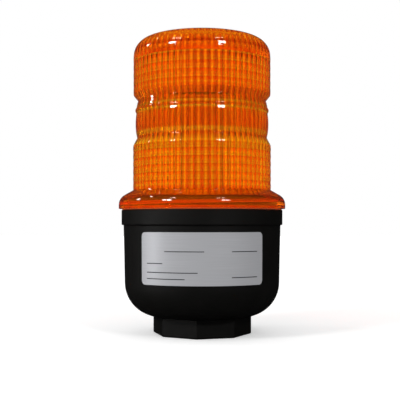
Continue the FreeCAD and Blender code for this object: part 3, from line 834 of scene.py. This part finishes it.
def lens_painted_light(z):
    """The painted light and shade of the outside at a level, by its flange, recess, edges and rings."""
    if z < low_band_level:
        return flange_slope_painted_shade if z > flange_corner_level else flange_rim_painted_shade
    edges = (recess_foot, barrel_level, bead_level, bead_top_level)
    marks = [(level, ring_line, edge_painted_light) for level in edges]
    marks += [(flute_top, flute_end_shade, shade_tint), (crown_shade_level, crown_shade, shade_tint)]
    for foot, height, count in (low_rings, top_rings):
        pitch = height / count
        for i in range(count):
            marks.append((foot + pitch * (i + 0.5), ring_line, ring_middle_painted_light))
        for i in range(1, count):
            valley = foot + pitch * i
            marks += [(valley, ring_line, valley_painted_shade), (valley + ring_line, ring_line, ring_edge_painted_light)]
    drawn = sum(strength * max(0.0, 1 - abs(z - level) / reach) for level, reach, strength in marks)
    return drawn + recess_painted_shade * (recess_shade_foot < z < recess_shade_top)


def bulge(foot, top, rise, steps):
    """Points of a shallow bulge between two points of the outline, without the ends."""
    points = []
    for i in range(1, steps):
        share = i / steps
        middle = Vector(foot).lerp(Vector(top), share)
        points.append((middle.x + rise * (1 - (2 * share - 1) ** 2), middle.y))
    return points


def cone_ridge(share):
    """Points of a small ridge on the cone between the bead and the groove over it."""
    middle = Vector(bead_top).lerp(Vector(top_groove), share)
    section_mm = ((0.07, -0.3), (0.16, -0.1), (0.14, 0.1), (-0.05, 0.3))
    return [(middle.x + out * mm, middle.y + up * mm) for out, up in section_mm]


def crown(wall_radius, shoulder, dome):
    """Points from the crown's foot to the axis: a round shoulder that runs into a shallow dome."""
    inner = wall_radius - shoulder
    join = math.asin(inner / (dome - shoulder))
    centre = crown_level - (dome - shoulder) * math.cos(join)
    shoulder_steps = 14
    dome_steps = 12
    points = []
    for i in range(shoulder_steps + 1):
        angle = (math.pi / 2 - join) * i / shoulder_steps
        points.append((inner + shoulder * math.cos(angle), crown_level + shoulder * math.sin(angle)))
    for i in range(1, dome_steps + 1):
        angle = join * (1 - i / dome_steps)
        points.append((dome * math.sin(angle), centre + dome * math.cos(angle)))
    return points


def flute_ripple(r, z):
    """How far an inner point moves at the valley between two flutes, which run on into the crown."""
    if abs(r - flute_crest) < weld and z <= flute_top:
        return flute_depth, 0
    if z < crown_flute_foot:
        return 0, 0
    rise = max(0.0, z - crown_level)
    way = Vector((r - core_radius + crown_shoulder - crown_wall, rise)).normalized()
    depth = crown_flute_depth * (1.0 if z < dome_flute_level else dome_flute_share * r / core_radius)
    return tuple(way * depth)


lens_inside = rounded([
    *reversed(crown(core_radius, crown_shoulder - crown_wall, crown_dome - crown_wall)),
    (core_radius, flute_top, flute_end_round),
    (flute_crest, flute_top),
    (flute_crest, recess_top + recess_fade),
    (flute_crest, recess_top),
    (flute_crest, recess_foot),
    (flute_crest, recess_foot - recess_fade),
    (flute_crest, socket_roof),
    (socket_radius, socket_roof, lens_round),
    (socket_radius, seal_high.z, lens_round),
    (seal_recess_radius, seal_high.z, lens_round),
    (seal_recess_radius, lens_foot),
])
lens_outside = rounded([
    (seal_recess_radius, lens_foot),
    (flange_radius, lens_foot, lens_round),
    (flange_radius, flange_corner_level, flange_round),
    (low_band_radius - low_ring_depth, low_band_level),
    *ring_lenses(low_band_radius, low_ring_depth, *low_rings),
    (low_band_radius - low_ring_depth, recess_foot, shoulder_round),
    (*low_groove, groove_round),
    (*barrel_foot, lens_round),
    *bulge(barrel_foot, bead_foot, barrel_bulge, steps=10),
    bead_foot,
    *bulge(bead_foot, bead_top, bead_bulge, steps=8),
    bead_top,
    *[point for share in cone_ridge_shares for point in cone_ridge(share)],
    (*top_groove, lens_round),
    (top_band_radius - top_ring_depth, top_band_level, groove_round),
    *ring_lenses(top_band_radius, top_ring_depth, *top_rings),
    *crown(top_band_radius - top_ring_depth, crown_shoulder, crown_dome),
])


def amber_polycarbonate():
    """Dyed polycarbonate, polished, deeper where thick, with painted light and shade on flutes and rings."""
    material, tree = new_material("amber polycarbonate, polished")
    place = add(tree, "ShaderNodeTexCoord").outputs["Object"]
    flow = add(tree, "ShaderNodeTexNoise", {
        "Vector": place, "Scale": 1 / flow_width, "Detail": 2.0,
    }).outputs["Fac"]
    bump = add(tree, "ShaderNodeBump", {"Height": flow, "Distance": 0.1 * mm}).outputs["Normal"]
    rippled = add(tree, "ShaderNodeAttribute", attribute_name="rippled").outputs["Fac"]
    gloss = add(tree, "ShaderNodeMapRange", {
        "Value": flow, "To Min": 0.01, "To Max": 0.03,
    }).outputs["Result"]
    gloss = add(tree, "ShaderNodeMix", {"Factor": rippled, 2: gloss, 3: flute_roughness}).outputs[0]
    # Painted light and shade: bars and lines across the inner flutes, plus the levels stored on the mesh.
    way = add(tree, "ShaderNodeSeparateXYZ", {0: place}).outputs
    azimuth = add(tree, "ShaderNodeMath", {0: way["Y"], 1: way["X"]}, operation="ARCTAN2").outputs[0]
    across = add(tree, "ShaderNodeMath", {0: azimuth, 1: flute_angle}, operation="PINGPONG").outputs[0]
    share = add(tree, "ShaderNodeMapRange", {"Value": across, "From Max": flute_angle}).outputs["Result"]
    lines = add(tree, "ShaderNodeValToRGB", {"Fac": share})
    for position, _ in painted_flute_light[1:-1]:
        lines.color_ramp.elements.new(position)
    for element, (_, value) in zip(lines.color_ramp.elements, painted_flute_light):
        element.color = (value, value, value, 1)
    lines = add(tree, "ShaderNodeMix", {
        "Factor": rippled, 2: outside_paleness, 3: lines.outputs["Color"],
    }).outputs[0]
    painted_light = add(tree, "ShaderNodeAttribute", attribute_name="painted_light").outputs["Fac"]
    pale = add(tree, "ShaderNodeMath", {0: lines, 1: painted_light}, operation="ADD").outputs[0]
    colour = add(tree, "ShaderNodeValToRGB", {"Fac": pale})
    for position, _ in amber_shade_to_light[1:-1]:
        colour.color_ramp.elements.new(position)
    for element, (_, code) in zip(colour.color_ramp.elements, amber_shade_to_light):
        element.color = linear(code)
    shader = add(tree, "ShaderNodeBsdfPrincipled", {
        "Base Color": colour.outputs["Color"], "Transmission Weight": 0.92, "IOR": 1.586, "Roughness": gloss,
        "Normal": bump,
    }).outputs["BSDF"]
    clear = add(tree, "ShaderNodeBsdfTransparent", {"Color": linear("#fbd06a")}).outputs["BSDF"]
    lamp_ray = add(tree, "ShaderNodeLightPath").outputs["Is Shadow Ray"]
    surface = add(tree, "ShaderNodeMixShader", {0: lamp_ray, 1: shader, 2: clear}).outputs["Shader"]
    dye = add(tree, "ShaderNodeVolumeAbsorption", {"Color": linear("#fde800"), "Density": 100.0})
    add(tree, "ShaderNodeOutputMaterial", {"Surface": surface, "Volume": dye.outputs["Volume"]})
    return material


amber = amber_polycarbonate()
lens_points = lens_inside + lens_outside[1:]
lens_ripples = [flute_ripple(r, z) for r, z in lens_inside] + [(0, 0)] * (len(lens_outside) - 1)
# Painted shade on the inner flutes in the recess, and painted light and shade on the outside.
lens_painted_lights = [recess_flute_painted_shade * (recess_foot <= z <= recess_top) for r, z in lens_inside]
lens_painted_lights += [lens_painted_light(z) for r, z in lens_outside[1:]]
lens = placed("amber_lens", shaped(outline_mesh(lens_points, lens_ripples, lens_painted_lights), turned_body, {
    "Columns": lens_columns, "First corner": -math.pi / 2, "Half ripple": flute_angle, "Material": amber,
}))
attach(lens, "lens")
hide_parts("lens")

# Lens thread: one coarse ridge inside the lens's socket, moulded with it in the same amber polycarbonate.
# It starts opposite the neck's ridge, so it runs half a pitch away from it.
lens_ridge_height = 0.55 * mm
lens_section = ridge_section(-lens_ridge_height, ridge_foot, ridge_crest)
lens_ridge = placed("lens_thread", shaped(lens_section, thread, {
    **ridge_inputs, "Root radius": socket_radius, "First angle": math.pi, "Material": amber,
}))
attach(lens_ridge, "lens")

# Studio: a white floor that keeps the object's shadow, under surroundings that are white to the eye. Through
# the lens they are upright panels, warm and white in turn, and reflections see a dim room on purpose, so
# lens and housing keep their colours. Small lamps glint in the lens, and one lights housing and label alone.
floor_half = 3.0
floor_mottle = 40 * mm
lift_near = 0.1
lift_far = 1.2
lift_least = 0.35
soft_level = 0.55
gloss_level = 0.02
panel_count = 9.0
panel_phase = 0.7
panel_edge = 0.3
panel_dark = 0.8
panel_bright = 1.55
horizon_share = 1.2
ceiling_share = 0.65
ceiling_height = 0.45
lamp_target = Vector((0, 0, 85 * mm))
lamp_distance = 1.0
lamp_height = 0.12
lamp_rows = (("low", 26, lamp_height), ("high", 47, lamp_height / 4))
# Each lamp's azimuth in degrees from the front, its width and the power of its low row.
lamps = {"left": (-50, 0.20, 2.6), "right": (33, 0.20, 1.8), "far_left": (-104, 0.08, 0.6)}


def studio_floor():
    """White painted floor: it takes the shadow, is lifted to white for the eye and dark in reflections."""
    material, tree = new_material("white painted floor")
    place = add(tree, "ShaderNodeTexCoord").outputs["Object"]
    paint = add(tree, "ShaderNodeTexNoise", {"Vector": place, "Scale": 1 / floor_mottle}).outputs["Fac"]
    colour = add(tree, "ShaderNodeValToRGB", {"Fac": paint})
    for element, code in zip(colour.color_ramp.elements, ("#f4f4f4", "#f8f8f8")):
        element.color = linear(code)
    paint = add(tree, "ShaderNodeBsdfDiffuse", {"Color": colour.outputs["Color"]}).outputs[0]
    away = add(tree, "ShaderNodeVectorMath", {0: place}, operation="LENGTH").outputs["Value"]
    short = add(tree, "ShaderNodeMapRange", {
        "Value": away, "From Min": lift_near, "From Max": lift_far, "To Min": lift_least, "To Max": 1.0,
    }).outputs["Result"]
    path = add(tree, "ShaderNodeLightPath").outputs
    eye = add(tree, "ShaderNodeMath", {
        0: path["Is Camera Ray"], 1: path["Is Transmission Ray"],
    }, operation="MAXIMUM").outputs[0]
    eye = add(tree, "ShaderNodeMath", {0: eye, 1: short}, operation="MULTIPLY").outputs[0]
    lift = add(tree, "ShaderNodeEmission", {"Strength": eye}).outputs[0]
    both = add(tree, "ShaderNodeAddShader", {0: paint, 1: lift}).outputs[0]
    shade = add(tree, "ShaderNodeBsdfDiffuse", {"Color": linear("#303030")}).outputs[0]
    shown = add(tree, "ShaderNodeMixShader", {0: path["Is Glossy Ray"], 1: both, 2: shade}).outputs[0]
    shown = add(tree, "ShaderNodeMixShader", {0: path["Is Transmission Ray"], 1: shown, 2: both}).outputs[0]
    add(tree, "ShaderNodeOutputMaterial", {"Surface": shown})
    return material


def studio_world():
    """White to the eye, panels through the lens, dim in reflections and an even soft light elsewhere."""
    world = bpy.data.worlds.new("studio")
    world.use_nodes = True
    tree = world.node_tree
    tree.nodes.clear()
    path = add(tree, "ShaderNodeLightPath").outputs
    way = add(tree, "ShaderNodeTexCoord").outputs["Generated"]
    way = add(tree, "ShaderNodeSeparateXYZ", {0: way}).outputs
    azimuth = add(tree, "ShaderNodeMath", {0: way["Y"], 1: way["X"]}, operation="ARCTAN2").outputs[0]
    wave = add(tree, "ShaderNodeMath", {
        0: azimuth, 1: panel_count, 2: panel_phase,
    }, operation="MULTIPLY_ADD").outputs[0]
    wave = add(tree, "ShaderNodeMath", {0: wave}, operation="SINE").outputs[0]
    share = add(tree, "ShaderNodeMapRange", {
        "Value": wave, "From Min": -panel_edge, "From Max": panel_edge,
    }).outputs["Result"]
    panel = add(tree, "ShaderNodeMapRange", {
        "Value": share, "To Min": panel_dark, "To Max": panel_bright,
    }).outputs["Result"]
    ceiling = add(tree, "ShaderNodeMapRange", {
        "Value": way["Z"], "From Max": ceiling_height, "To Min": horizon_share, "To Max": ceiling_share,
    }).outputs["Result"]
    panel = add(tree, "ShaderNodeMath", {0: panel, 1: ceiling}, operation="MULTIPLY").outputs[0]
    colour = add(tree, "ShaderNodeMix", {
        "Factor": share, 6: linear("#ff7e3c"), 7: linear("#ffffff"),
    }, data_type="RGBA").outputs[2]
    panels = add(tree, "ShaderNodeBackground", {"Color": colour, "Strength": panel}).outputs[0]
    level = soft_level
    for kind, strength in (("Is Glossy Ray", gloss_level), ("Is Camera Ray", 1.0)):
        level = add(tree, "ShaderNodeMix", {"Factor": path[kind], 2: level, 3: strength}).outputs[0]
    soft = add(tree, "ShaderNodeBackground", {"Color": linear("#ffffff"), "Strength": level}).outputs[0]
    light = add(tree, "ShaderNodeMixShader", {0: path["Is Transmission Ray"], 1: soft, 2: panels}).outputs[0]
    add(tree, "ShaderNodeOutputWorld", {"Surface": light})
    return world


def lamp(name, azimuth, elevation, width, height, power):
    """A rectangular lamp aimed at the object; its azimuth runs from the front towards +X, in degrees."""
    turn, rise = math.radians(azimuth), math.radians(elevation)
    data = bpy.data.lights.new(name, "AREA")
    data.shape = "RECTANGLE"
    data.size, data.size_y, data.energy = width, height, power
    made = bpy.data.objects.new(name, data)
    way = Vector((math.sin(turn) * math.cos(rise), -math.cos(turn) * math.cos(rise), math.sin(rise)))
    made.location = lamp_target + lamp_distance * way
    made.rotation_euler = way.to_track_quat("Z", "Y").to_euler()
    scene.collection.objects.link(made)
    return made


floor_mesh = bpy.data.meshes.new("studio_floor")
floor_corners = [(x * floor_half, y * floor_half, 0) for x, y in ((-1, -1), (1, -1), (1, 1), (-1, 1))]
floor_mesh.from_pydata(floor_corners, [], [(0, 1, 2, 3)])
floor_mesh.materials.append(studio_floor())
floor = placed("studio_floor", floor_mesh)
scene.world = studio_world()
for side, (azimuth, width, power) in lamps.items():
    for row, elevation, height in lamp_rows:
        lamp(f"{side}_{row}_lamp", azimuth, elevation, width, height, power * height / lamp_height)
housing_lamp = lamp("housing_lamp", azimuth=-74, elevation=-2.4, width=0.30, height=0.06, power=1.0)
lit = bpy.data.collections.new("lit by the housing lamp")
for piece in (housing, label):
    lit.objects.link(piece)
housing_lamp.light_linking.receiver_collection = lit

# Camera: level with the bowl and close, so the rings above open upwards and the rims below open downwards.
# Its frame is shifted up, as the photograph's is.
camera_data = bpy.data.cameras.new("camera")
camera_data.lens = 73.8
camera_data.sensor_width = 36.0
camera_data.shift_x = -0.005
camera_data.shift_y = 0.0575
camera = bpy.data.objects.new("camera", camera_data)
camera.location = (0, -0.416, 0.0558)
camera.rotation_euler = (math.pi / 2, 0, 0)
scene.collection.objects.link(camera)
scene.camera = camera
scene.view_settings.view_transform = "Standard"
